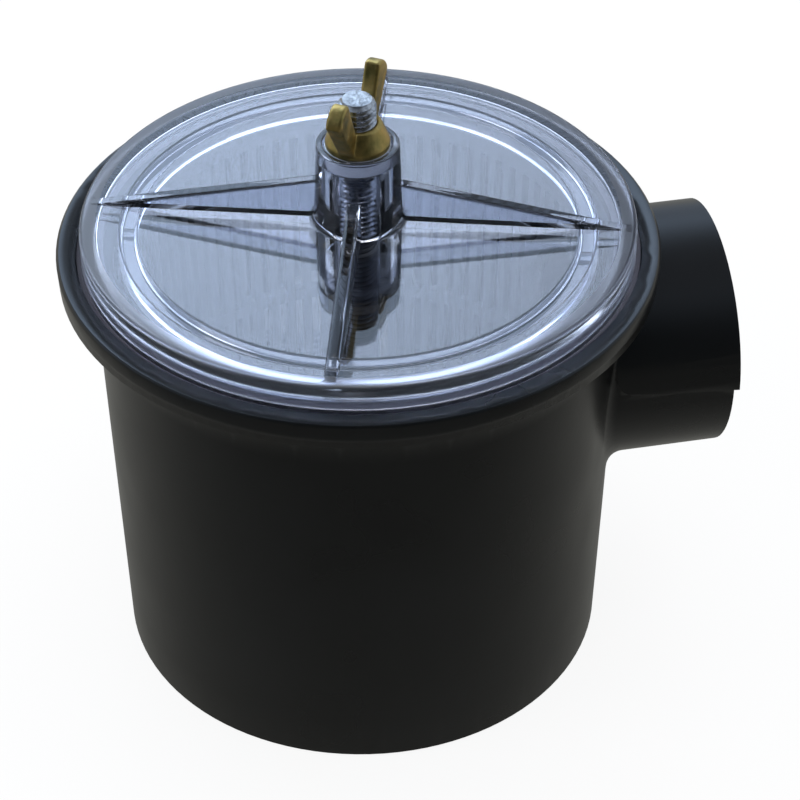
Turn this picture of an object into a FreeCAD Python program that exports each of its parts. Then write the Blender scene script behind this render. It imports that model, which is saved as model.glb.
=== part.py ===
import FreeCAD, Part
import math
import os
from FreeCAD import Vector

# Sea water strainer: a moulded cup with two threaded side ports, a slotted basket inside it, and a clear
# ribbed lid that one wing nut holds down on a central stud. Millimetres, +Z up.
# The origin is the centre of the flat underside. +X runs out of the inlet port, +Y out of the outlet port.

# Housing
housing_height = 102.0
rim_radius = 64.0
rim_height = 5.5
rim_overhang = 7.2
rim_draft = 0.3
rim_edge_bevel = 0.6
lip_width = 4.0
recess_depth = 3.3
wall = 4.0
wall_draft = 2.7
floor_thickness = 5.0
base_edge_bevel = 0.6
inner_corner_bevel = 2.0

# Ports, with the bore left at the minor diameter of a G 1 1/4 thread
port_radius = 26.8
port_reach = 77.4
port_bore_radius = 18.0
port_root_round = 4.0
port_mouth_bevel = 1.2
thread_minor_radius = 19.5
thread_length = 20.0
inlet_height = 68.0
outlet_height = 36.0
land_thickness = 0.5
land_overreach = 1.1
land_root_rise = 3.0
land_end_rise = 1.0
land_corner_radius = 4.5
land_start = 51.0

# Stud and its anchor
stud_radius = 4.0
stud_above_boss = 10.6
stud_tip_bevel = 0.8
stud_engagement = 12.0
insert_radius = 7.0
insert_length = 14.0
insert_groove_depth = 0.6
insert_groove_width = 3.0
anchor_wall = 4.0

# Lid
lid_gap = 1.25
lid_rise = 5.5
lid_thickness = 4.3
lid_edge_bevel = 0.8
skirt_width = 3.35
hold_down_gap = 2.7
hold_down_width = 3.1
hold_down_reach = 2.9
ring_edge_bevel = 0.5
boss_height = 18.1
boss_top_radius = 8.7
boss_base_radius = 9.5
boss_root_round = 1.2
boss_edge_bevel = 0.3
mouth_wall = 1.4
mouth_depth = 4.0
stud_hole_clearance = 0.4
rib_count = 4
rib_thickness = 3.0
rib_height = 8.9
rib_end_inset = 2.0
rib_edge_round = 0.4
rib_first_angle = -16.4

# Gasket, seal and washer
gasket_thickness = 2.0
gasket_side_gap = 0.3
gasket_ledge_inset = 1.2
seal_thickness = 2.5
washer_thickness = 1.2
washer_side_gap = 0.35
sliding_clearance = 0.1

# Wing nut
nut_hub_radius = 6.8
nut_hub_top_radius = 5.0
nut_hub_height = 5.4
nut_skirt_height = 1.0
nut_hub_bevel = 0.3
nut_height = 14.6
nut_bore_clearance = 0.05
ear_lobe_centre = 9.2
ear_lobe_radius = 4.1
ear_thickness = 3.4
ear_foot_height = 0.6
ear_neck_radius = 4.6
ear_edge_bevel = 0.35
ear_angle = 57.6

# Basket
basket_rim_gap = 2.0
basket_rim_height = 4.0
basket_rim_step = 1.4
basket_wall = 2.0
basket_draft = 2.7
basket_play = 0.3
basket_floor = 2.5
slot_columns = 72
slot_tiers = 2
slot_angle = 2.5
hoop_height = 3.0
basket_foot_height = 4.0
anchor_cap_gap = 0.5
anchor_cap_wall = 2.0
stud_cap_gap = 0.6
inlet_clearance = 0.6
inlet_frame_width = 3.0
inlet_collar_wall = 3.0

# How near a point must lie to count as on an edge or a surface
tolerance = 0.02

# Heights and radii that follow from the sizes above
rim_top = housing_height
rim_underside = rim_top - rim_height
recess_floor = rim_top - recess_depth
recess_radius = rim_radius - lip_width
body_top_radius = rim_radius - rim_overhang
body_base_radius = body_top_radius - wall_draft
bore_top_radius = body_top_radius - wall
bore_base_radius = body_base_radius - wall
gasket_top = recess_floor + gasket_thickness
lid_top = rim_top + lid_rise
lid_underside = lid_top - lid_thickness
lid_radius = recess_radius - lid_gap
hold_down_radius = bore_top_radius - hold_down_gap
hold_down_bottom = rim_top - hold_down_reach
boss_top = lid_top + boss_height
mouth_radius = boss_top_radius - mouth_wall
mouth_floor = boss_top - mouth_depth
seal_top = mouth_floor + seal_thickness
washer_top = seal_top + washer_thickness
washer_radius = mouth_radius - washer_side_gap
stud_top = boss_top + stud_above_boss
anchor_radius = insert_radius + anchor_wall
anchor_top = floor_thickness + insert_length
stud_foot = anchor_top - stud_engagement
basket_top = hold_down_bottom - basket_play
basket_rim_radius = bore_top_radius - basket_rim_gap
basket_radius = basket_rim_radius - basket_rim_step
basket_base_radius = basket_radius - basket_draft

UP = Vector(0, 0, 1)
ORIGIN = Vector(0, 0, 0)


def save(node, shape):
    """Write one finished piece to its own STEP file."""
    shape = shape.removeSplitter()
    print(node, shape.isValid(), len(shape.Solids), round(shape.Volume, 1))
    shape.exportStep("parts/" + node + ".step")


def revolved(points):
    """Turn a closed outline of (radius, height) points about the Z axis."""
    corners = [Vector(r, 0, z) for r, z in points]
    face = Part.Face(Part.makePolygon(corners + corners[:1]))
    return face.revolve(ORIGIN, UP, 360)


def ring(inner, outer, bottom, top):
    """A plain flat ring."""
    return revolved([(inner, bottom), (outer, bottom), (outer, top), (inner, top)])


def rounded(shape, radius, wanted):
    """Round the edges that the test picks out."""
    edges = [edge for edge in shape.Edges if wanted(edge)]
    return shape.makeFillet(radius, edges)


def bevelled(shape, width, radius, height):
    """Chamfer the circle of this radius at this height."""
    edges = [edge for edge in shape.Edges if circle_at(edge, radius, height)]
    return shape.makeChamfer(width, edges)


def circle_at(edge, radius, height):
    """True for the full circle of this radius at this height."""
    box = edge.BoundBox
    flat = abs(box.ZMax - height) < tolerance and abs(box.ZMin - height) < tolerance
    return flat and abs(box.XMax - radius) < tolerance and abs(box.XMin + radius) < tolerance


def turned(shape, degrees):
    """A copy of the shape turned about the Z axis."""
    copy = shape.copy()
    copy.rotate(ORIGIN, UP, degrees)
    return copy


def rod(radius, start, end, height):
    """A cylinder along +X at this height."""
    return Part.makeCylinder(radius, end - start, Vector(start, 0, height), Vector(1, 0, 0))


def port_land(height):
    """The raised upper half of a port, with one rounded corner at each foot."""
    bottom = height + land_root_rise
    top = height + port_radius + wall
    end = port_reach + land_overreach
    bend = land_corner_radius
    side = math.sqrt(0.5) * bend
    foot = Vector(land_start, 0, bottom + bend)
    middle = Vector(land_start + bend - side, 0, bottom + bend - side)
    heel = Vector(land_start + bend, 0, bottom)
    far_low = Vector(end, 0, height + land_end_rise)
    far_high = Vector(end, 0, top)
    near_high = Vector(land_start, 0, top)
    outline = Part.Wire([
        Part.Arc(foot, middle, heel).toShape(),
        Part.makeLine(heel, far_low),
        Part.makeLine(far_low, far_high),
        Part.makeLine(far_high, near_high),
        Part.makeLine(near_high, foot),
    ])
    reach = port_radius + wall
    plate = Part.Face(outline).extrude(Vector(0, 2 * reach, 0))
    plate.translate(Vector(0, -reach, 0))
    return plate.common(rod(port_radius + land_thickness, land_start, end, height))


def body_radius_at(height):
    """Outer radius of the tapered cup at a height."""
    return body_base_radius + wall_draft * height / rim_top


def basket_radius_at(height):
    """Outer radius of the tapered basket at a height."""
    share = (height - floor_thickness) / (basket_top - floor_thickness)
    return basket_base_radius + basket_draft * share


def port_blank(height):
    """Outside of one port along +X, from inside the cup to its end."""
    return rod(port_radius, bore_base_radius - wall, port_reach, height)


def port_cut(height):
    """Everything that one port's bore removes."""
    thread_start = port_reach - thread_length
    end = port_reach + land_overreach + wall
    waterway = rod(port_bore_radius, anchor_radius + wall, end, height)
    thread = rod(thread_minor_radius, thread_start, end, height)
    flare = Part.makeCone(
        thread_minor_radius,
        thread_minor_radius + port_mouth_bevel,
        port_mouth_bevel,
        Vector(port_reach - port_mouth_bevel, 0, height),
        Vector(1, 0, 0),
    )
    lead = rod(thread_minor_radius + port_mouth_bevel, port_reach, end, height)
    return waterway.fuse([thread, flare, lead])


def make_housing():
    """Cup, rim, ports, stud anchor and inlet collar, moulded as one piece."""
    cup = revolved([(0, 0), (body_base_radius, 0), (body_top_radius, rim_top), (0, rim_top)])
    cup = bevelled(cup, base_edge_bevel, body_base_radius, 0)
    inlet = port_blank(inlet_height)
    outlet = turned(port_blank(outlet_height), 90)
    outside = cup.fuse([inlet, outlet])
    outside = rounded(outside, port_root_round, is_port_root)
    lands = [port_land(inlet_height), turned(port_land(outlet_height), 90)]
    rim = revolved([
        (0, rim_underside),
        (rim_radius - rim_draft, rim_underside),
        (rim_radius, rim_top),
        (0, rim_top),
    ])
    rim = bevelled(rim, rim_edge_bevel, rim_radius, rim_top)
    outside = outside.fuse(lands + [rim])

    inside = revolved([
        (0, floor_thickness),
        (bore_base_radius, floor_thickness),
        (bore_top_radius, rim_top),
        (0, rim_top),
    ])
    inside = bevelled(inside, inner_corner_bevel, bore_base_radius, floor_thickness)
    recess = Part.makeCylinder(recess_radius, recess_depth, Vector(0, 0, recess_floor))
    shell = outside.cut(inside.fuse(recess))

    anchor = Part.makeCylinder(anchor_radius, insert_length, Vector(0, 0, floor_thickness))
    collar = inlet_collar()
    shell = shell.fuse([anchor, collar])
    shell = shell.cut(port_cut(inlet_height))
    shell = shell.cut(turned(port_cut(outlet_height), 90))
    return shell.cut(make_insert_space())


def is_port_root(edge):
    """True for the curve where a port runs into the tapered cup."""
    middle = edge.valueAt((edge.FirstParameter + edge.LastParameter) / 2)
    off_wall = math.hypot(middle.x, middle.y) - body_radius_at(middle.z)
    off_inlet = math.hypot(middle.y, middle.z - inlet_height) - port_radius
    off_outlet = math.hypot(middle.x, middle.z - outlet_height) - port_radius
    on_port = min(abs(off_inlet), abs(off_outlet)) < tolerance
    return abs(off_wall) < tolerance and on_port


def inlet_collar():
    """Short collar that carries the inlet across to the basket."""
    outer = port_bore_radius + inlet_collar_wall
    tube = rod(outer, basket_base_radius - wall, body_base_radius, inlet_height)
    keep_out = revolved([
        (0, 0),
        (basket_radius_at(0) + inlet_clearance, 0),
        (basket_radius_at(basket_top) + inlet_clearance, basket_top),
        (0, basket_top),
    ])
    return tube.cut(keep_out)


def make_insert_space():
    """Room for the brass insert in the stud anchor."""
    core = Part.makeCylinder(insert_radius, insert_length, Vector(0, 0, floor_thickness))
    return core.cut(insert_groove())


def insert_groove():
    """Ring that the plastic fills to lock the insert in place."""
    middle = floor_thickness + insert_length / 2
    low = middle - insert_groove_width / 2
    return ring(insert_radius - insert_groove_depth, insert_radius, low, low + insert_groove_width)


def make_stud_insert():
    """Threaded brass insert moulded into the anchor."""
    tapped = Part.makeCylinder(stud_radius, stud_engagement, Vector(0, 0, stud_foot))
    return make_insert_space().cut(tapped)


def make_stud():
    """Threaded rod from the insert up through the lid."""
    rod_shape = Part.makeCylinder(stud_radius, stud_top - stud_foot, Vector(0, 0, stud_foot))
    return bevelled(rod_shape, stud_tip_bevel, stud_radius, stud_top)


def lid_rib():
    """One rib along +X, tallest at the boss."""
    foot_radius = boss_top_radius - mouth_wall
    tip_radius = lid_radius - rib_end_inset
    middle = (lid_top + lid_underside) / 2
    rib_top = lid_top + rib_height
    outline = [(0, middle), (tip_radius, middle), (tip_radius, lid_top), (foot_radius, rib_top), (0, rib_top)]
    corners = [Vector(x, -rib_thickness / 2, z) for x, z in outline]
    face = Part.Face(Part.makePolygon(corners + corners[:1]))
    rib = face.extrude(Vector(0, rib_thickness, 0))

    def is_crest(edge):
        rises = edge.BoundBox.ZMax - edge.BoundBox.ZMin > rib_height / 2
        return rises and edge.BoundBox.XMax - edge.BoundBox.XMin > foot_radius

    return rounded(rib, rib_edge_round, is_crest)


def make_lid():
    """Clear moulded lid: plate, skirt, hold-down ring, boss and ribs."""
    plate = Part.makeCylinder(lid_radius, lid_thickness, Vector(0, 0, lid_underside))
    plate = bevelled(plate, lid_edge_bevel, lid_radius, lid_top)
    skirt = ring(lid_radius - skirt_width, lid_radius, gasket_top, lid_underside)
    hold_down = ring(hold_down_radius - hold_down_width, hold_down_radius, hold_down_bottom, lid_underside)
    hold_down = bevelled(hold_down, ring_edge_bevel, hold_down_radius, hold_down_bottom)
    boss = Part.makeCone(boss_base_radius, boss_top_radius, boss_height, Vector(0, 0, lid_top))
    boss = bevelled(boss, boss_edge_bevel, boss_top_radius, boss_top)
    lid = plate.fuse([skirt, hold_down, boss])
    lid = rounded(lid, boss_root_round, lambda edge: circle_at(edge, boss_base_radius, lid_top))
    step = 360.0 / rib_count
    ribs = [turned(lid_rib(), rib_first_angle + step * n) for n in range(rib_count)]
    lid = lid.fuse(ribs)
    mouth = Part.makeCylinder(mouth_radius, mouth_depth, Vector(0, 0, mouth_floor))
    hole_radius = stud_radius + stud_hole_clearance
    hole = Part.makeCylinder(hole_radius, boss_top - lid_underside, Vector(0, 0, lid_underside))
    return lid.cut(mouth.fuse(hole))


def make_lid_gasket():
    """Flat rubber ring between the rim's recess and the lid's skirt."""
    outer = recess_radius - gasket_side_gap
    inner = bore_top_radius + gasket_ledge_inset
    return ring(inner, outer, recess_floor, gasket_top)


def make_wing_nut():
    """Cast wing nut with a tapered hub and two upright ears."""
    base = washer_top
    hub = revolved([
        (0, base),
        (nut_hub_radius, base),
        (nut_hub_radius, base + nut_skirt_height),
        (nut_hub_top_radius, base + nut_hub_height),
        (0, base + nut_hub_height),
    ])
    hub = bevelled(hub, nut_hub_bevel, nut_hub_top_radius, base + nut_hub_height)
    ears = [turned(nut_ear(base), ear_angle), turned(nut_ear(base), ear_angle + 180)]
    nut = hub.fuse(ears)
    bore_radius = stud_radius + nut_bore_clearance
    bore = Part.makeCylinder(bore_radius, nut_height, Vector(0, 0, base))
    return nut.cut(bore)


def nut_ear(base):
    """One ear along +X: a round lobe on a web that leans out from the hub, with its edges bevelled."""
    lobe_height = base + nut_height - ear_lobe_radius
    foot = base + ear_foot_height
    shoulder = base + nut_hub_height
    heel_radius = nut_hub_radius - ear_edge_bevel
    outer_span = math.hypot(ear_lobe_centre - heel_radius, lobe_height - foot)
    outer_rise = math.atan2(lobe_height - foot, ear_lobe_centre - heel_radius)
    outer_touch = outer_rise - math.pi / 2 + math.asin(ear_lobe_radius / outer_span)
    inner_span = math.hypot(ear_lobe_centre - ear_neck_radius, lobe_height - shoulder)
    inner_rise = math.atan2(lobe_height - shoulder, ear_lobe_centre - ear_neck_radius)
    inner_touch = inner_rise + math.pi / 2 - math.asin(ear_lobe_radius / inner_span)
    crest = (outer_touch + inner_touch) / 2

    def on_lobe(angle):
        x = ear_lobe_centre + ear_lobe_radius * math.cos(angle)
        return Vector(x, -ear_thickness / 2, lobe_height + ear_lobe_radius * math.sin(angle))

    start = Vector(0, -ear_thickness / 2, foot)
    heel = Vector(heel_radius, -ear_thickness / 2, foot)
    neck = Vector(ear_neck_radius, -ear_thickness / 2, shoulder)
    back = Vector(0, -ear_thickness / 2, shoulder)
    outline = Part.Wire([
        Part.makeLine(start, heel),
        Part.makeLine(heel, on_lobe(outer_touch)),
        Part.Arc(on_lobe(outer_touch), on_lobe(crest), on_lobe(inner_touch)).toShape(),
        Part.makeLine(on_lobe(inner_touch), neck),
        Part.makeLine(neck, back),
        Part.makeLine(back, start),
    ])
    ear = Part.Face(outline).extrude(Vector(0, ear_thickness, 0))

    def is_rim(edge):
        box = edge.BoundBox
        on_one_side = box.YMax - box.YMin < tolerance
        clear_of_hub = box.XMin > ear_neck_radius - tolerance
        above_foot = box.ZMin > foot - tolerance and box.ZMax > foot + tolerance
        along_shoulder = abs(box.ZMax - shoulder) < tolerance
        return on_one_side and clear_of_hub and above_foot and not along_shoulder

    return ear.makeChamfer(ear_edge_bevel, [edge for edge in ear.Edges if is_rim(edge)])


def basket_slots():
    """All the slot cutters: upright wedges in tiers."""
    low = floor_thickness + basket_foot_height
    high = basket_top - basket_rim_height
    tier_height = (high - low - (slot_tiers - 1) * hoop_height) / slot_tiers
    reach = basket_rim_radius + wall
    half = reach * math.tan(math.radians(slot_angle / 2))
    cutters = []
    for tier in range(slot_tiers):
        bottom = low + tier * (tier_height + hoop_height)
        corners = [Vector(0, 0, bottom), Vector(reach, -half, bottom), Vector(reach, half, bottom)]
        wedge = Part.Face(Part.makePolygon(corners + corners[:1])).extrude(Vector(0, 0, tier_height))
        for column in range(slot_columns):
            cutters.append(turned(wedge, (column + 0.5) * 360.0 / slot_columns))
    return cutters


def make_basket():
    """Slotted basket: tapered wall, thick rim, framed inlet window, solid floor and a cap over the anchor."""
    outer_base = basket_base_radius
    inner_base = basket_base_radius - basket_wall
    inner_top = basket_radius - basket_wall
    floor_top = floor_thickness + basket_floor
    cap_inner = anchor_radius + anchor_cap_gap
    cap_outer = cap_inner + anchor_cap_wall
    cap_bottom = anchor_top + anchor_cap_gap
    cap_top = cap_bottom + anchor_cap_wall
    wall_ring = revolved([
        (inner_base, floor_thickness),
        (outer_base, floor_thickness),
        (basket_radius, basket_top),
        (inner_top, basket_top),
    ])
    window_radius = port_bore_radius + inlet_clearance
    window = rod(window_radius, cap_outer + basket_wall, basket_rim_radius, inlet_height)
    frame = rod(window_radius + inlet_frame_width, cap_outer + basket_wall, basket_rim_radius, inlet_height)
    slotted = wall_ring.cut(basket_slots()).fuse(wall_ring.common(frame))
    rim_bottom = basket_top - basket_rim_height
    rim_bottom_radius = basket_radius_at(rim_bottom)
    rim = revolved([
        (rim_bottom_radius - basket_wall, rim_bottom),
        (rim_bottom_radius, rim_bottom),
        (basket_rim_radius, rim_bottom + basket_rim_step),
        (basket_rim_radius, basket_top),
        (inner_top, basket_top),
    ])
    floor_and_cap = revolved([
        (cap_inner, floor_thickness),
        (inner_base + basket_wall / 2, floor_thickness),
        (inner_base + basket_wall / 2, floor_top),
        (cap_outer, floor_top),
        (cap_outer, cap_top),
        (stud_radius + stud_cap_gap, cap_top),
        (stud_radius + stud_cap_gap, cap_bottom),
        (cap_inner, cap_bottom),
    ])
    return slotted.fuse([rim, floor_and_cap]).cut(window)


os.makedirs("parts", exist_ok=True)
save("housing", make_housing())
save("stud_insert", make_stud_insert())
save("stud", make_stud())
save("basket", make_basket())
save("lid_gasket", make_lid_gasket())
save("lid", make_lid())
save("stud_seal", ring(stud_radius + sliding_clearance, washer_radius, mouth_floor, seal_top))
save("plain_washer", ring(stud_radius + sliding_clearance, washer_radius, seal_top, washer_top))
save("wing_nut", make_wing_nut())
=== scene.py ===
import math

import bmesh
import bpy
from mathutils import Matrix, Vector


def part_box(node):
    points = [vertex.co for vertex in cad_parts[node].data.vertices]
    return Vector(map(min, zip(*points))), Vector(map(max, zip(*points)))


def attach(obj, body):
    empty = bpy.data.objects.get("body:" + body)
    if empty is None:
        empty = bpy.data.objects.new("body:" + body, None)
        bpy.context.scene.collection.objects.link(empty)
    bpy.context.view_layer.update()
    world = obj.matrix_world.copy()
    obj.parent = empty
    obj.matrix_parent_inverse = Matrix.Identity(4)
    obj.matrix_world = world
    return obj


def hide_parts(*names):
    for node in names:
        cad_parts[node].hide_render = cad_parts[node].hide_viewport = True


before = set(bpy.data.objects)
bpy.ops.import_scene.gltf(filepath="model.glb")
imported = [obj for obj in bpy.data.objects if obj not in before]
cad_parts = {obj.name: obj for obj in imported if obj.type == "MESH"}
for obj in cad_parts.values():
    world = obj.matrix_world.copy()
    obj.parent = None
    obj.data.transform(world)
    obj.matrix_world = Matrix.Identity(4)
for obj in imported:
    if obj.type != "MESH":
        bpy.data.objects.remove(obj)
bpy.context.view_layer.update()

# ---------------------------------------------------------------------------------------------------------
# Camera. It stands in front and a little to the left of the cup and looks down on the lid, so that the lid's
# whole top, the nut and the inlet port all show.

mm = 0.001
housing_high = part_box("housing")[1]
rim_top = housing_high.z
camera_elevation = math.radians(35.35)
camera_azimuth = math.radians(-10.4)
camera_distance = 559.9 * mm
camera_aim = Vector((8.6, -1.6, 57.1)) * mm
camera_side = Vector((math.sin(camera_azimuth), -math.cos(camera_azimuth), 0))

camera_data = bpy.data.cameras.new("camera")
camera_data.lens = 118.6
camera_data.sensor_width = 36
camera = bpy.data.objects.new("camera", camera_data)
camera.location = (
    Vector((0, 0, rim_top))
    + camera_side * camera_distance * math.cos(camera_elevation)
    + Vector((0, 0, camera_distance * math.sin(camera_elevation)))
)
camera.rotation_euler = (camera_aim - camera.location).to_track_quat("-Z", "Y").to_euler()
bpy.context.collection.objects.link(camera)
bpy.context.scene.camera = camera
bpy.context.scene.view_settings.view_transform = "Standard"

# ---------------------------------------------------------------------------------------------------------
# Studio. A pale floor that fades to white, and soft lamps behind, above and at the left. Mirrors see a room
# that is dim in front, pale at the back, and has a large bluish window low behind the lid.

floor_half = 6.0
floor_fade = (-0.15, 0.12)
room_fade = (-0.85, -0.1)
ceiling_fade = (0.72, 0.95)
window_fade = (0.86, 0.985)
painted_shadow_radius = 180 * mm
floor_colour = (0.86, 0.87, 0.88, 1)
floor_white_share = 0.9
ambient_colour = (0.55, 0.57, 0.60, 1)
mirrored_floor_shade_colour = (0.13, 0.13, 0.12, 1)
mirrored_floor_light_colour = (0.42, 0.42, 0.39, 1)
painted_shadow_colour = (0.05, 0.055, 0.06, 1)
room_front_colour = (0.03, 0.035, 0.04, 1)
room_back_colour = (0.42, 0.50, 0.62, 1)
window_colour = (1.7, 2.2, 2.95, 1)
ceiling_colour = (0.2, 0.22, 0.26, 1)
back_way = Vector((-camera_side.x, -camera_side.y, 0))
window_way = Vector((-0.165, 0.781, 0.602)).normalized()
ceiling_way = Vector((0, 0, 1))


def new_material(name):
    """An empty node material with its output, ready for a shader."""
    made = bpy.data.materials.new(name)
    made.use_nodes = True
    made.node_tree.nodes.clear()
    made.node_tree.nodes.new("ShaderNodeOutputMaterial")
    return made


def add_node(tree, kind, settings=None, **inputs):
    """A node with its settings, and its inputs set by name."""
    made = tree.nodes.new(kind)
    for key, value in (settings or {}).items():
        setattr(made, key, value)
    for key, value in inputs.items():
        made.inputs[key.replace("_", " ")].default_value = value
    return made


def calc(tree, operation, *values):
    """A Math node on numbers or sockets, and its result."""
    node = tree.nodes.new("ShaderNodeMath")
    node.operation = operation
    for n, value in enumerate(values):
        if isinstance(value, (int, float)):
            node.inputs[n].default_value = value
        else:
            tree.links.new(value, node.inputs[n])
    return node.outputs[0]


def clear_view(tree):
    """1 where the eye looks straight out, or through clear plastic, before any matt or mirror bounce."""
    path = add_node(tree, "ShaderNodeLightPath")
    looks = calc(tree, "MAXIMUM", path.outputs["Is Camera Ray"], path.outputs["Is Transmission Ray"])
    bounces = calc(tree, "ADD", path.outputs["Diffuse Depth"], path.outputs["Glossy Depth"])
    return calc(tree, "MULTIPLY", looks, calc(tree, "LESS_THAN", bounces, 0.5))


def mirror_view(tree):
    """1 where a mirror or clear plastic shows the room, before any matt bounce."""
    path = add_node(tree, "ShaderNodeLightPath")
    mirrored = calc(tree, "GREATER_THAN", path.outputs["Glossy Depth"], 0.5)
    return calc(tree, "MULTIPLY", mirrored, calc(tree, "LESS_THAN", path.outputs["Diffuse Depth"], 0.5))


def blended(tree, share, low, high):
    """A colour between two, each a plain colour or a socket."""
    mix = add_node(tree, "ShaderNodeMix", {"data_type": "RGBA"})
    tree.links.new(share, mix.inputs["Factor"])
    colour_sockets = (6, 7)
    for n, colour in zip(colour_sockets, (low, high)):
        if isinstance(colour, tuple):
            mix.inputs[n].default_value = colour
        else:
            tree.links.new(colour, mix.inputs[n])
    return mix.outputs[2]


def toward(tree, source, way, fade):
    """A smooth share, from 0 where source along way is the fade's start to 1 where it is its end."""
    dot = add_node(tree, "ShaderNodeVectorMath", {"operation": "DOT_PRODUCT"})
    dot.inputs[1].default_value = way
    tree.links.new(source, dot.inputs[0])
    span = add_node(tree, "ShaderNodeMapRange", {"interpolation_type": "SMOOTHSTEP"})
    span.inputs["From Min"].default_value = fade[0]
    span.inputs["From Max"].default_value = fade[1]
    tree.links.new(dot.outputs["Value"], span.inputs["Value"])
    return span.outputs[0]


def make_floor():
    """Matt floor, nearly white to the eye with its shadow kept. Mirrors see it with painted light, dim in
    front and pale behind, and rays through the lid see a painted shadow close by the cup.
    """
    mesh = bpy.data.meshes.new("floor")
    corners = [(-1, -1), (1, -1), (1, 1), (-1, 1)]
    mesh.from_pydata([(x * floor_half, y * floor_half, 0) for x, y in corners], [], [(0, 1, 2, 3)])
    floor = bpy.data.objects.new("floor", mesh)
    bpy.context.collection.objects.link(floor)
    made = new_material("floor")
    tree = made.node_tree
    matt = add_node(tree, "ShaderNodeBsdfDiffuse", Color=floor_colour)
    white = add_node(tree, "ShaderNodeEmission", Color=(1, 1, 1, 1), Strength=1.0)
    place = add_node(tree, "ShaderNodeTexCoord").outputs["Object"]
    room = add_node(tree, "ShaderNodeEmission", Strength=1.0)
    # Mirrors see painted light on the floor: a painted shade in front that fades to painted light behind.
    behind = toward(tree, place, back_way, floor_fade)
    tree.links.new(blended(tree, behind, mirrored_floor_shade_colour, mirrored_floor_light_colour), room.inputs["Color"])
    reach = add_node(tree, "ShaderNodeVectorMath", {"operation": "LENGTH"})
    tree.links.new(place, reach.inputs[0])
    # Within this radius, rays through the lid see a painted shadow of the cup on the floor.
    near = calc(tree, "LESS_THAN", reach.outputs["Value"], painted_shadow_radius)
    through = add_node(tree, "ShaderNodeLightPath").outputs["Is Transmission Ray"]
    shade = add_node(tree, "ShaderNodeEmission", Color=painted_shadow_colour, Strength=1.0)
    seen = add_node(tree, "ShaderNodeMixShader")
    tree.links.new(calc(tree, "MULTIPLY", clear_view(tree), floor_white_share), seen.inputs[0])
    tree.links.new(matt.outputs[0], seen.inputs[1])
    tree.links.new(white.outputs[0], seen.inputs[2])
    whole = add_node(tree, "ShaderNodeMixShader")
    tree.links.new(mirror_view(tree), whole.inputs[0])
    tree.links.new(seen.outputs[0], whole.inputs[1])
    tree.links.new(room.outputs[0], whole.inputs[2])
    shaded = add_node(tree, "ShaderNodeMixShader")
    tree.links.new(calc(tree, "MULTIPLY", near, through), shaded.inputs[0])
    tree.links.new(whole.outputs[0], shaded.inputs[1])
    tree.links.new(shade.outputs[0], shaded.inputs[2])
    tree.links.new(shaded.outputs[0], tree.nodes["Material Output"].inputs[0])
    mesh.materials.append(made)


def make_world():
    """Even light, white to the eye, with the room that mirrors see."""
    world = bpy.data.worlds.new("studio")
    bpy.context.scene.world = world
    world.use_nodes = True
    tree = world.node_tree
    tree.nodes.clear()
    out = add_node(tree, "ShaderNodeOutputWorld")
    way = add_node(tree, "ShaderNodeTexCoord").outputs["Generated"]
    room = blended(tree, toward(tree, way, back_way, room_fade), room_front_colour, room_back_colour)
    room = blended(tree, toward(tree, way, ceiling_way, ceiling_fade), room, ceiling_colour)
    room = blended(tree, toward(tree, way, window_way, window_fade), room, window_colour)
    colour = blended(tree, mirror_view(tree), ambient_colour, room)
    colour = blended(tree, clear_view(tree), colour, (1, 1, 1, 1))
    background = add_node(tree, "ShaderNodeBackground")
    tree.links.new(colour, background.inputs["Color"])
    tree.links.new(background.outputs[0], out.inputs[0])


def soft_lamp(name, place, width, height, power, colour=(1, 1, 1)):
    """A large area lamp aimed at the lid, left out of mirrors because the room stands in for it there."""
    data = bpy.data.lights.new(name, "AREA")
    data.shape = "RECTANGLE"
    data.size = width
    data.size_y = height
    data.energy = power
    data.color = colour
    lamp = bpy.data.objects.new(name, data)
    lamp.location = place
    aim = Vector((0, 0, rim_top)) - lamp.location
    lamp.rotation_euler = aim.to_track_quat("-Z", "Y").to_euler()
    lamp.visible_glossy = False
    bpy.context.collection.objects.link(lamp)


make_floor()
make_world()
soft_lamp("back_lamp", (-0.35, 1.5, 1.15), 1.9, 0.8, 16, (0.82, 0.9, 1.0))
soft_lamp("left_lamp", (-1.5, -0.2, 0.9), 0.8, 1.2, 7)
soft_lamp("top_lamp", (0.2, 0.1, 1.8), 1.2, 1.2, 14)

# ---------------------------------------------------------------------------------------------------------
# Housing. One black glass-filled moulding: the cup, its wide rim, both ports and the anchor in its floor.
# Its skin is satin, with fine grain, and both port sockets have a pipe thread.

housing_colour = (0.0025, 0.0028, 0.003, 1)
housing_worn_colour = (0.004, 0.0045, 0.005, 1)


def principled(made, **inputs):
    """The material's one shader, wired to its output."""
    tree = made.node_tree
    shader = add_node(tree, "ShaderNodeBsdfPrincipled", **inputs)
    tree.links.new(shader.outputs[0], tree.nodes["Material Output"].inputs[0])
    return shader


def add_noise(made, scale, detail):
    """Noise fixed to the piece, with its scale in turns a metre."""
    tree = made.node_tree
    noise = add_node(tree, "ShaderNodeTexNoise", Scale=scale, Detail=detail)
    tree.links.new(add_node(tree, "ShaderNodeTexCoord").outputs["Object"], noise.inputs["Vector"])
    return noise.outputs[0]


noise_low = 0.3
noise_high = 0.7


def vary(made, source, socket, low, high):
    """Drive a plain number on a shader from a noise, between two values."""
    tree = made.node_tree
    span = add_node(tree, "ShaderNodeMapRange")
    for key, value in (("From Min", noise_low), ("From Max", noise_high), ("To Min", low), ("To Max", high)):
        span.inputs[key].default_value = value
    tree.links.new(source, span.inputs["Value"])
    tree.links.new(span.outputs[0], socket)


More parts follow.
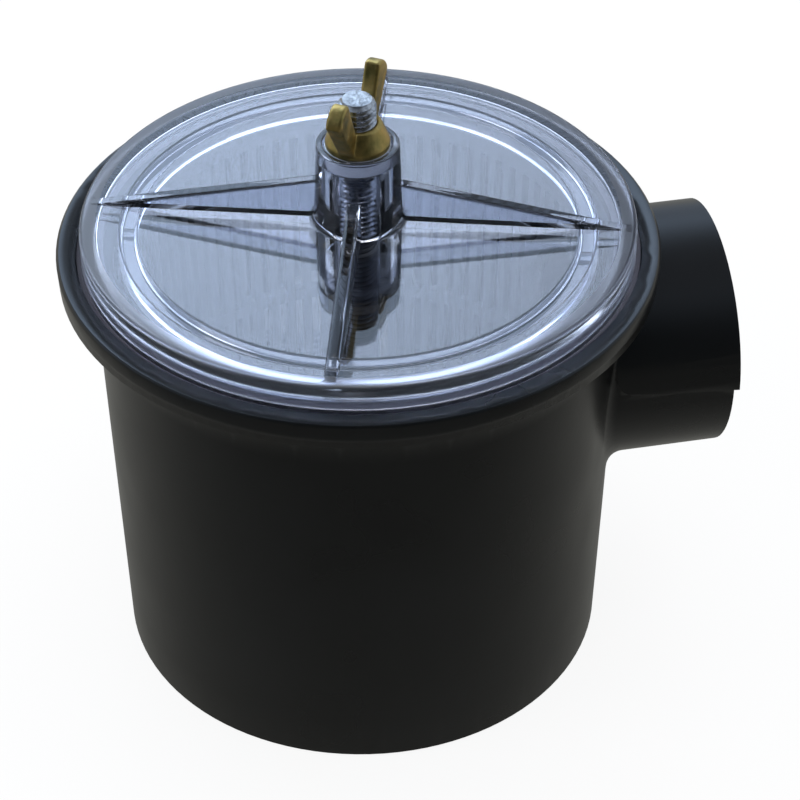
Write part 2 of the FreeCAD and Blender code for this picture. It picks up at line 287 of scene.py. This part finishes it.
def colour_ramp(tree, source, low, high, start=noise_low, end=noise_high):
    """A colour from a noise, low up to start and high from end on."""
    ramp = add_node(tree, "ShaderNodeValToRGB")
    ramp.color_ramp.elements[0].position = start
    ramp.color_ramp.elements[0].color = low
    ramp.color_ramp.elements[1].position = end
    ramp.color_ramp.elements[1].color = high
    tree.links.new(source, ramp.inputs[0])
    return ramp.outputs[0]


def vary_colour(made, source, socket, low, high):
    """Drive a colour on a shader from a noise, between two colours."""
    made.node_tree.links.new(colour_ramp(made.node_tree, source, low, high), socket)


def add_bump(made, source, shader, depth, strength):
    """Small relief on a shader, its depth in metres."""
    tree = made.node_tree
    bump = add_node(tree, "ShaderNodeBump", Strength=strength, Distance=depth)
    tree.links.new(source, bump.inputs["Height"])
    tree.links.new(bump.outputs[0], shader.inputs["Normal"])


def merged_copy(node, name):
    """A welded copy of a CAD piece's mesh, in the same place."""
    mesh = bpy.data.meshes.new(name)
    work = bmesh.new()
    work.from_mesh(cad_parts[node].data)
    bmesh.ops.remove_doubles(work, verts=work.verts, dist=0.002 * mm)
    work.to_mesh(mesh)
    work.free()
    copy = bpy.data.objects.new(name, mesh)
    bpy.context.collection.objects.link(copy)
    return copy


def smooth(piece, angle=32):
    """Smooth shading that keeps edges sharper than the angle, with flat faces kept flat."""
    for face in piece.data.polygons:
        face.use_smooth = True
    piece.data.set_sharp_from_angle(angle=math.radians(angle))
    weighted = piece.modifiers.new("flat_faces", "WEIGHTED_NORMAL")
    weighted.keep_sharp = True


def dress(piece, made):
    """Give a piece its one material."""
    piece.data.materials.clear()
    piece.data.materials.append(made)


def housing_finish():
    """Satin black moulding with fine grain and faint clouds of wear."""
    made = new_material("satin_black_moulding")
    shader = principled(made, Specular_IOR_Level=0.5)
    grain = add_noise(made, 900, 4)
    clouds = add_noise(made, 35, 3)
    vary_colour(made, clouds, shader.inputs["Base Color"], housing_colour, housing_worn_colour)
    vary(made, clouds, shader.inputs["Roughness"], 0.26, 0.34)
    add_bump(made, grain, shader, 0.02 * mm, 0.5)
    return made


def thread_tree():
    """Geometry Nodes for a threaded rod along Z: a grid wound as a helix, four rows to a pitch, one on each
    corner of the metric thread form. Crests are an eighth of a pitch wide and flanks five sixteenths."""
    flank = 0.3125
    half_crest = 0.375
    row_step = 0.125
    tree = bpy.data.node_groups.new("threaded_rod", "GeometryNodeTree")
    for name, kind in (
        ("Low", "NodeSocketFloat"), ("High", "NodeSocketFloat"), ("Crest", "NodeSocketFloat"),
        ("Root", "NodeSocketFloat"), ("Pitch", "NodeSocketFloat"), ("End bevel", "NodeSocketFloat"),
        ("Rows", "NodeSocketInt"), ("Steps", "NodeSocketInt"), ("Finish", "NodeSocketMaterial"),
    ):
        tree.interface.new_socket(name, in_out="INPUT", socket_type=kind)
    tree.interface.new_socket("Rod", in_out="OUTPUT", socket_type="NodeSocketGeometry")
    given = tree.nodes.new("NodeGroupInput").outputs
    grid = tree.nodes.new("GeometryNodeMeshGrid")
    grid.inputs["Size X"].default_value = 1
    grid.inputs["Size Y"].default_value = 1
    tree.links.new(given["Steps"], grid.inputs["Vertices X"])
    tree.links.new(given["Rows"], grid.inputs["Vertices Y"])
    parts = tree.nodes.new("ShaderNodeSeparateXYZ")
    tree.links.new(tree.nodes.new("GeometryNodeInputPosition").outputs[0], parts.inputs[0])
    around = calc(tree, "ADD", parts.outputs[0], 0.5)
    last_row = calc(tree, "SUBTRACT", given["Rows"], 1)
    row = calc(tree, "ROUND", calc(tree, "MULTIPLY", calc(tree, "ADD", parts.outputs[1], 0.5), last_row))
    turn = calc(tree, "FLOOR", calc(tree, "DIVIDE", calc(tree, "ADD", row, 0.5), 4))
    corner = calc(tree, "SUBTRACT", calc(tree, "SUBTRACT", row, calc(tree, "MULTIPLY", turn, 4)), 1.5)
    outward = calc(tree, "SUBTRACT", calc(tree, "ABSOLUTE", corner), 0.5)
    from_middle = calc(tree, "MULTIPLY_ADD", outward, flank, row_step)
    offset = calc(tree, "MULTIPLY", calc(tree, "SIGN", corner), from_middle)
    turns = calc(tree, "ADD", calc(tree, "ADD", turn, 0.5), calc(tree, "ADD", offset, around))
    start = calc(tree, "SUBTRACT", given["Low"], calc(tree, "MULTIPLY", given["Pitch"], 2))
    height = calc(tree, "ADD", start, calc(tree, "MULTIPLY", turns, given["Pitch"]))
    clipped = calc(tree, "MINIMUM", calc(tree, "MAXIMUM", height, given["Low"]), given["High"])
    clipped_turns = calc(tree, "DIVIDE", calc(tree, "SUBTRACT", clipped, start), given["Pitch"])
    phase = calc(tree, "FRACT", calc(tree, "SUBTRACT", clipped_turns, around))
    from_crest = calc(tree, "SUBTRACT", 0.5, calc(tree, "ABSOLUTE", calc(tree, "SUBTRACT", phase, 0.5)))
    rise = calc(tree, "DIVIDE", calc(tree, "SUBTRACT", half_crest, from_crest), flank)
    rise = calc(tree, "MINIMUM", calc(tree, "MAXIMUM", rise, 0), 1)
    depth = calc(tree, "SUBTRACT", given["Crest"], given["Root"])
    radius = calc(tree, "ADD", given["Root"], calc(tree, "MULTIPLY", rise, depth))
    from_low = calc(tree, "SUBTRACT", clipped, given["Low"])
    from_end = calc(tree, "MINIMUM", from_low, calc(tree, "SUBTRACT", given["High"], clipped))
    end_radius = calc(tree, "ADD", calc(tree, "SUBTRACT", given["Crest"], given["End bevel"]), from_end)
    radius = calc(tree, "MINIMUM", radius, end_radius)
    past_first = calc(tree, "GREATER_THAN", row, 0.5)
    inside = calc(tree, "MULTIPLY", past_first, calc(tree, "LESS_THAN", row, last_row))
    radius = calc(tree, "MULTIPLY", radius, inside)
    angle = calc(tree, "MULTIPLY", around, 2 * math.pi)
    place = tree.nodes.new("ShaderNodeCombineXYZ")
    tree.links.new(calc(tree, "MULTIPLY", radius, calc(tree, "COSINE", angle)), place.inputs[0])
    tree.links.new(calc(tree, "MULTIPLY", radius, calc(tree, "SINE", angle)), place.inputs[1])
    tree.links.new(clipped, place.inputs[2])
    moved = tree.nodes.new("GeometryNodeSetPosition")
    tree.links.new(grid.outputs["Mesh"], moved.inputs["Geometry"])
    tree.links.new(place.outputs[0], moved.inputs["Position"])
    welded = tree.nodes.new("GeometryNodeMergeByDistance")
    welded.inputs["Distance"].default_value = 0.002 * mm
    tree.links.new(moved.outputs[0], welded.inputs["Geometry"])
    real = tree.nodes.new("GeometryNodeRealizeInstances")
    tree.links.new(welded.outputs[0], real.inputs[0])
    coated = tree.nodes.new("GeometryNodeSetMaterial")
    tree.links.new(real.outputs[0], coated.inputs["Geometry"])
    tree.links.new(given["Finish"], coated.inputs["Material"])
    out = tree.nodes.new("NodeGroupOutput")
    tree.links.new(coated.outputs[0], out.inputs[0])
    return tree


rod_tree = thread_tree()


def threaded_rod(name, low, high, crest, root, pitch, end_bevel, steps, finish):
    """A closed threaded rod along Z, made by the thread's node tree and kept as a plain mesh."""
    rod = bpy.data.objects.new(name, bpy.data.meshes.new(name))
    bpy.context.collection.objects.link(rod)
    winding = rod.modifiers.new("thread", "NODES")
    winding.node_group = rod_tree
    rows = 4 * (math.ceil((high - low) / pitch) + 4)
    values = {
        "Low": low, "High": high, "Crest": crest, "Root": root, "Pitch": pitch, "End bevel": end_bevel,
        "Rows": rows, "Steps": steps + 1, "Finish": finish,
    }
    for item in rod_tree.interface.items_tree:
        if item.in_out == "INPUT":
            winding[item.identifier] = values[item.name]
    made = bpy.data.meshes.new_from_object(rod.evaluated_get(bpy.context.evaluated_depsgraph_get()))
    rod.modifiers.remove(winding)
    rod.data = made
    work = bmesh.new()
    work.from_mesh(made)
    bmesh.ops.dissolve_degenerate(work, edges=work.edges, dist=0.001 * mm)
    bmesh.ops.recalc_face_normals(work, faces=work.faces)
    work.to_mesh(made)
    work.free()
    return rod


def joined(piece, other, operation="UNION"):
    """Join or cut with another mesh by an exact boolean, and drop the other."""
    cut = piece.modifiers.new("join", "BOOLEAN")
    cut.operation = operation
    cut.solver = "EXACT"
    cut.object = other
    bpy.context.view_layer.update()
    result = bpy.data.meshes.new_from_object(piece.evaluated_get(bpy.context.evaluated_depsgraph_get()))
    piece.modifiers.remove(cut)
    piece.data = result
    bpy.data.objects.remove(other)


port_reach = housing_high.x
port_thread_length = 20 * mm
port_thread_root = 19.3 * mm
port_thread_crest = 20.95 * mm
port_thread_pitch = 2.309 * mm
port_thread_steps = 96
port_overrun = 2 * mm
inlet_height = 68 * mm
outlet_height = 36 * mm
moulding = housing_finish()
housing = merged_copy("housing", "housing_moulding")
to_inlet = Matrix.Identity(4)
to_outlet = Matrix.Rotation(math.pi / 2, 4, "Z")
for turn, height in ((to_inlet, inlet_height), (to_outlet, outlet_height)):
    plug = threaded_rod(
        "port_thread", port_reach - port_thread_length, port_reach + port_overrun,
        port_thread_crest, port_thread_root, port_thread_pitch, 0, port_thread_steps, moulding,
    )
    plug.data.transform(turn @ Matrix.Translation((0, 0, height)) @ Matrix.Rotation(math.pi / 2, 4, "Y"))
    joined(housing, plug, "DIFFERENCE")
smooth(housing, 30)
dress(housing, moulding)
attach(housing, "cup")
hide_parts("housing")

# ---------------------------------------------------------------------------------------------------------
# Basket. Grey moulded strainer that stands on the cup's floor, with tiers of upright slots.

def basket_finish():
    """Plain grey moulding, a little uneven in colour."""
    made = new_material("grey_basket_moulding")
    shader = principled(made, Specular_IOR_Level=0.4)
    clouds = add_noise(made, 60, 2)
    vary_colour(made, clouds, shader.inputs["Base Color"], (0.09, 0.10, 0.11, 1), (0.13, 0.14, 0.15, 1))
    vary(made, clouds, shader.inputs["Roughness"], 0.35, 0.45)
    return made


basket = merged_copy("basket", "basket_moulding")
smooth(basket)
dress(basket, basket_finish())
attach(basket, "cup")
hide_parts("basket")

# ---------------------------------------------------------------------------------------------------------
# Lid. One clear moulding, a round plate with a skirt and a hold-down ring below, and a tall boss and four
# tapered ribs above. The stud's hole runs up the boss, which opens at its top for the seal and washer.

lid_low, lid_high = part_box("lid")
lid_radius = lid_high.x
boss_top = lid_high.z
hold_down_bottom = lid_low.z
lid_rise = 5.5 * mm
lid_thickness = 4.3 * mm
skirt_width = 3.35 * mm
lid_top = rim_top + lid_rise
lid_underside = lid_top - lid_thickness
skirt_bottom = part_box("lid_gasket")[1].z
skirt_inner = lid_radius - skirt_width
hold_down_outer = 50.1 * mm
hold_down_inner = 47.0 * mm
boss_top_radius = 8.7 * mm
boss_base_radius = 9.5 * mm
mouth_radius = 7.3 * mm
mouth_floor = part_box("stud_seal")[0].z
stud_hole = 4.4 * mm
lid_steps = 192
rib_count = 4
rib_first = math.radians(-16.4)
rib_half = 1.5 * mm
rib_height = 8.9 * mm
rib_tip = lid_radius - 2.0 * mm
rib_crest_bevel = 0.9 * mm
corner_steps = 5
lid_tint = (0.82, 0.85, 0.96, 1)
lid_roughness = 0.03
edge_haze = 0.25
boss_haze = 0.05
shadow_tint = (0.86, 0.9, 0.96, 1)


def rounded_outline(corners, steps):
    """Closed outline of (radius, height) points, each corner turned by its own arc."""
    points = []
    for n, (r, z, bend) in enumerate(corners):
        here = Vector((r, z))
        before = Vector(corners[n - 1][:2]) - here
        after = Vector(corners[(n + 1) % len(corners)][:2]) - here
        half = before.angle(after) / 2
        start = here + before.normalized() * bend / math.tan(half)
        end = here + after.normalized() * bend / math.tan(half)
        centre = here + (before.normalized() + after.normalized()).normalized() * bend / math.sin(half)
        for step in range(steps + 1):
            arm = (start - centre).slerp(end - centre, step / steps)
            points.append(centre + arm * bend)
    return points


def turned_mesh(name, outline, steps):
    """A closed ring-shaped solid from an outline that never meets the axis."""
    count = len(outline)
    verts = []
    for n in range(steps):
        turn = 2 * math.pi * n / steps
        verts += [(p.x * math.cos(turn), p.x * math.sin(turn), p.y) for p in outline]
    faces = []
    for n in range(steps):
        here, there = n * count, ((n + 1) % steps) * count
        for k in range(count):
            after = (k + 1) % count
            faces.append((here + k, there + k, there + after, here + after))
    mesh = bpy.data.meshes.new(name)
    mesh.from_pydata(verts, [], faces)
    work = bmesh.new()
    work.from_mesh(mesh)
    bmesh.ops.recalc_face_normals(work, faces=work.faces)
    work.to_mesh(mesh)
    work.free()
    return mesh


def rib_mesh():
    """One rib along +X: a thin upright wedge, tallest at the boss, with its crest rounded."""
    inner = (stud_hole + mouth_radius) / 2
    low = (lid_top + lid_underside) / 2
    high = lid_top + rib_height
    side = [(inner, low), (rib_tip, low), (rib_tip, lid_top), (boss_top_radius, high), (inner, high)]
    work = bmesh.new()
    left = [work.verts.new((x, -rib_half, z)) for x, z in side]
    face = work.faces.new(left)
    swept = bmesh.ops.extrude_face_region(work, geom=[face])
    moved = [v for v in swept["geom"] if isinstance(v, bmesh.types.BMVert)]
    bmesh.ops.translate(work, verts=moved, vec=(0, 2 * rib_half, 0))
    bmesh.ops.recalc_face_normals(work, faces=work.faces)
    crest = [
        edge for edge in work.edges
        if all(v.co.z > lid_top - 1e-6 for v in edge.verts)
        and abs(edge.verts[0].co.y - edge.verts[1].co.y) < 1e-6
        and max(v.co.x for v in edge.verts) > boss_top_radius + 1e-6
    ]
    bmesh.ops.bevel(work, geom=crest, offset=rib_crest_bevel, segments=6, profile=0.5, affect="EDGES")
    mesh = bpy.data.meshes.new("rib")
    work.to_mesh(mesh)
    work.free()
    return mesh


def make_lid():
    """The lid's turned body from its half section, with the four ribs joined on."""
    outline = rounded_outline([
        (stud_hole, lid_underside, 0.15 * mm),
        (stud_hole, mouth_floor, 0.15 * mm),
        (mouth_radius, mouth_floor, 0.3 * mm),
        (mouth_radius, boss_top, 0.3 * mm),
        (boss_top_radius, boss_top, 0.4 * mm),
        (boss_base_radius, lid_top, 1.2 * mm),
        (lid_radius, lid_top, 1.0 * mm),
        (lid_radius, skirt_bottom, 0.4 * mm),
        (skirt_inner, skirt_bottom, 0.4 * mm),
        (skirt_inner, lid_underside, 0.6 * mm),
        (hold_down_outer, lid_underside, 0.6 * mm),
        (hold_down_outer, hold_down_bottom, 0.5 * mm),
        (hold_down_inner, hold_down_bottom, 0.5 * mm),
        (hold_down_inner, lid_underside, 0.6 * mm),
    ], corner_steps)
    lid = bpy.data.objects.new("clear_lid", turned_mesh("clear_lid", outline, lid_steps))
    bpy.context.collection.objects.link(lid)
    one_rib = rib_mesh()
    for n in range(rib_count):
        mesh = one_rib.copy()
        mesh.transform(Matrix.Rotation(rib_first + 2 * math.pi * n / rib_count, 4, "Z"))
        rib = bpy.data.objects.new("rib", mesh)
        bpy.context.collection.objects.link(rib)
        joined(lid, rib)
    return lid


def lid_finish():
    """Clear plastic, hazed by its mould at the skirt and boss, that lets lamps through to the basket."""
    made = new_material("clear_lid_moulding")
    tree = made.node_tree
    shader = add_node(
        tree, "ShaderNodeBsdfPrincipled", Base_Color=lid_tint, Transmission_Weight=1.0, IOR=1.49
    )
    place = add_node(tree, "ShaderNodeSeparateXYZ")
    tree.links.new(add_node(tree, "ShaderNodeTexCoord").outputs["Object"], place.inputs[0])
    across = calc(tree, "MULTIPLY", place.outputs[0], place.outputs[0])
    across = calc(tree, "SQRT", calc(tree, "MULTIPLY_ADD", place.outputs[1], place.outputs[1], across))
    at_edge = calc(tree, "GREATER_THAN", across, skirt_inner)
    at_boss = calc(tree, "LESS_THAN", across, boss_base_radius + 0.2 * mm)
    at_boss = calc(tree, "MULTIPLY", at_boss, calc(tree, "GREATER_THAN", place.outputs[2], lid_top))
    haze = calc(tree, "MULTIPLY_ADD", at_edge, edge_haze, lid_roughness)
    tree.links.new(calc(tree, "MULTIPLY_ADD", at_boss, boss_haze, haze), shader.inputs["Roughness"])
    waves = add_noise(made, 60, 1)
    add_bump(made, waves, shader, 0.04 * mm, 0.3)
    open_way = add_node(tree, "ShaderNodeBsdfTransparent", Color=shadow_tint)
    mix = add_node(tree, "ShaderNodeMixShader")
    tree.links.new(add_node(tree, "ShaderNodeLightPath").outputs["Is Shadow Ray"], mix.inputs[0])
    tree.links.new(shader.outputs[0], mix.inputs[1])
    tree.links.new(open_way.outputs[0], mix.inputs[2])
    tree.links.new(mix.outputs[0], tree.nodes["Material Output"].inputs[0])
    return made


lid = make_lid()
smooth(lid)
dress(lid, lid_finish())
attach(lid, "cover")
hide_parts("lid")

# ---------------------------------------------------------------------------------------------------------
# Stud. Stainless threaded bar screwed into the cup's floor, standing up through the basket and the lid. Its
# sawn top is rough, and the thread runs its whole length.

stud_low, stud_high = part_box("stud")
stud_radius = stud_high.x
stud_pitch = 1.25 * mm
stud_crest = stud_radius - 0.02 * mm
stud_root = stud_radius - 0.68 * mm
stud_bevel = 0.9 * mm
stud_steps = 48
painted_shade_top = rim_top
painted_shade_steel_colour = (0.06, 0.062, 0.065, 1)
bright_low_colour = (0.28, 0.29, 0.30, 1)
bright_high_colour = (0.62, 0.63, 0.64, 1)
thread_roughness = 0.15
sawn_extra = 0.25
dulled_extra = 0.40


def stud_finish():
    """Bright steel above the lid, with a coarse sawn top, and dulled below the rim: rougher there, and
    darkened by a painted shade that stands for the shade inside the cup.
    """
    made = new_material("stud_stainless")
    tree = made.node_tree
    shader = principled(made, Metallic=1.0)
    coarse = add_noise(made, 900, 3)
    height = add_node(tree, "ShaderNodeSeparateXYZ")
    tree.links.new(add_node(tree, "ShaderNodeTexCoord").outputs["Object"], height.inputs[0])
    above = calc(tree, "GREATER_THAN", height.outputs[2], painted_shade_top)
    bright = colour_ramp(tree, coarse, bright_low_colour, bright_high_colour, 0.35, 0.6)
    # Below the rim top the steel's colour is a painted shade: a dark colour that stands for the shade inside
    # the cup.
    tree.links.new(blended(tree, above, painted_shade_steel_colour, bright), shader.inputs["Base Color"])
    at_top = calc(tree, "GREATER_THAN", height.outputs[2], stud_high.z - 0.1 * mm)
    rough = calc(tree, "ADD", calc(tree, "MULTIPLY", at_top, sawn_extra), thread_roughness + dulled_extra)
    rough = calc(tree, "SUBTRACT", rough, calc(tree, "MULTIPLY", above, dulled_extra))
    tree.links.new(rough, shader.inputs["Roughness"])
    relief = calc(tree, "MULTIPLY", coarse, calc(tree, "ADD", calc(tree, "MULTIPLY", at_top, 0.9), 0.1))
    add_bump(made, relief, shader, 0.35 * mm, 0.8)
    return made


steel = stud_finish()
stud = threaded_rod(
    "threaded_stud", stud_low.z, stud_high.z, stud_crest, stud_root,
    stud_pitch, stud_bevel, stud_steps, steel,
)
smooth(stud, 40)
dress(stud, steel)
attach(stud, "cup")
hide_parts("stud")

# ---------------------------------------------------------------------------------------------------------
# Wing nut. Cast brass, dulled and a little rough, its corners rounded by the casting.

nut_grain = 0.22 * mm
nut_passes = 5


def metal_finish(name, low, high, rough, scale, depth):
    """Bare metal with its colour, sheen and relief from one noise."""
    made = new_material(name)
    shader = principled(made, Metallic=1.0)
    clouds = add_noise(made, scale, 4)
    vary_colour(made, clouds, shader.inputs["Base Color"], low, high)
    vary(made, clouds, shader.inputs["Roughness"], rough[0], rough[1])
    add_bump(made, clouds, shader, depth, 0.6)
    return made


def rounded_cast(piece, grain, passes):
    """Give a merged solid the soft corners of a casting, on an even mesh of small faces."""
    even = piece.modifiers.new("even", "REMESH")
    even.mode = "VOXEL"
    even.voxel_size = grain
    soft = piece.modifiers.new("soft", "SMOOTH")
    soft.factor = 0.5
    soft.iterations = passes
    made = bpy.data.meshes.new_from_object(piece.evaluated_get(bpy.context.evaluated_depsgraph_get()))
    piece.modifiers.clear()
    piece.data = made
    for face in made.polygons:
        face.use_smooth = True


brass = metal_finish(
    "dulled_brass", (0.30, 0.25, 0.08, 1), (0.72, 0.50, 0.17, 1), (0.30, 0.46), 330, 0.35 * mm,
)
nut = merged_copy("wing_nut", "cast_wing_nut")
rounded_cast(nut, nut_grain, nut_passes)
dress(nut, brass)
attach(nut, "nut")
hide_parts("wing_nut")

# ---------------------------------------------------------------------------------------------------------
# Washer and seal. A stamped steel washer with turned-over corners lies on a soft pale sealing ring in the
# boss's mouth, both loose round the stud.

def ring_piece(node, name, inner, corner, finish, body):
    """A flat ring in a CAD ring's place, with all four corners rounded."""
    low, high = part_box(node)
    outline = rounded_outline([
        (inner, low.z, corner), (high.x, low.z, corner), (high.x, high.z, corner), (inner, high.z, corner),
    ], 4)
    piece = bpy.data.objects.new(name, turned_mesh(name, outline, 96))
    bpy.context.collection.objects.link(piece)
    smooth(piece, 60)
    dress(piece, finish)
    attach(piece, body)
    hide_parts(node)


def silicone_finish():
    """Pale translucent sealing rubber."""
    made = new_material("pale_silicone")
    shader = principled(made, Specular_IOR_Level=0.4)
    clouds = add_noise(made, 250, 2)
    vary_colour(made, clouds, shader.inputs["Base Color"], (0.42, 0.46, 0.52, 1), (0.5, 0.54, 0.6, 1))
    vary(made, clouds, shader.inputs["Roughness"], 0.35, 0.5)
    return made


ring_hole = 4.1 * mm
plain_steel = metal_finish(
    "washer_stainless", (0.5, 0.51, 0.52, 1), (0.7, 0.71, 0.72, 1), (0.2, 0.3), 500, 0.02 * mm,
)
silicone = silicone_finish()
ring_piece("plain_washer", "stamped_washer", ring_hole, 0.15 * mm, plain_steel, "washer")
ring_piece("stud_seal", "stud_seal_ring", ring_hole, 0.3 * mm, silicone, "cover")

# ---------------------------------------------------------------------------------------------------------
# Gasket and insert. The flat grey rubber gasket lies in the rim's recess, and the grooved brass insert that
# takes the stud is moulded into the cup's floor. Both keep their CAD shapes.

def rubber_finish():
    """Dark grey rubber with a dry, dusty skin."""
    made = new_material("dark_rubber")
    shader = principled(made, Specular_IOR_Level=0.3)
    clouds = add_noise(made, 300, 3)
    vary_colour(made, clouds, shader.inputs["Base Color"], (0.045, 0.043, 0.052, 1), (0.065, 0.062, 0.074, 1))
    vary(made, clouds, shader.inputs["Roughness"], 0.6, 0.75)
    add_bump(made, clouds, shader, 0.05 * mm, 0.4)
    return made


turned_brass = metal_finish(
    "turned_brass", (0.5, 0.38, 0.16, 1), (0.62, 0.48, 0.2, 1), (0.2, 0.3), 300, 0.03 * mm,
)
dress(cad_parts["stud_insert"], turned_brass)
dress(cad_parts["lid_gasket"], rubber_finish())
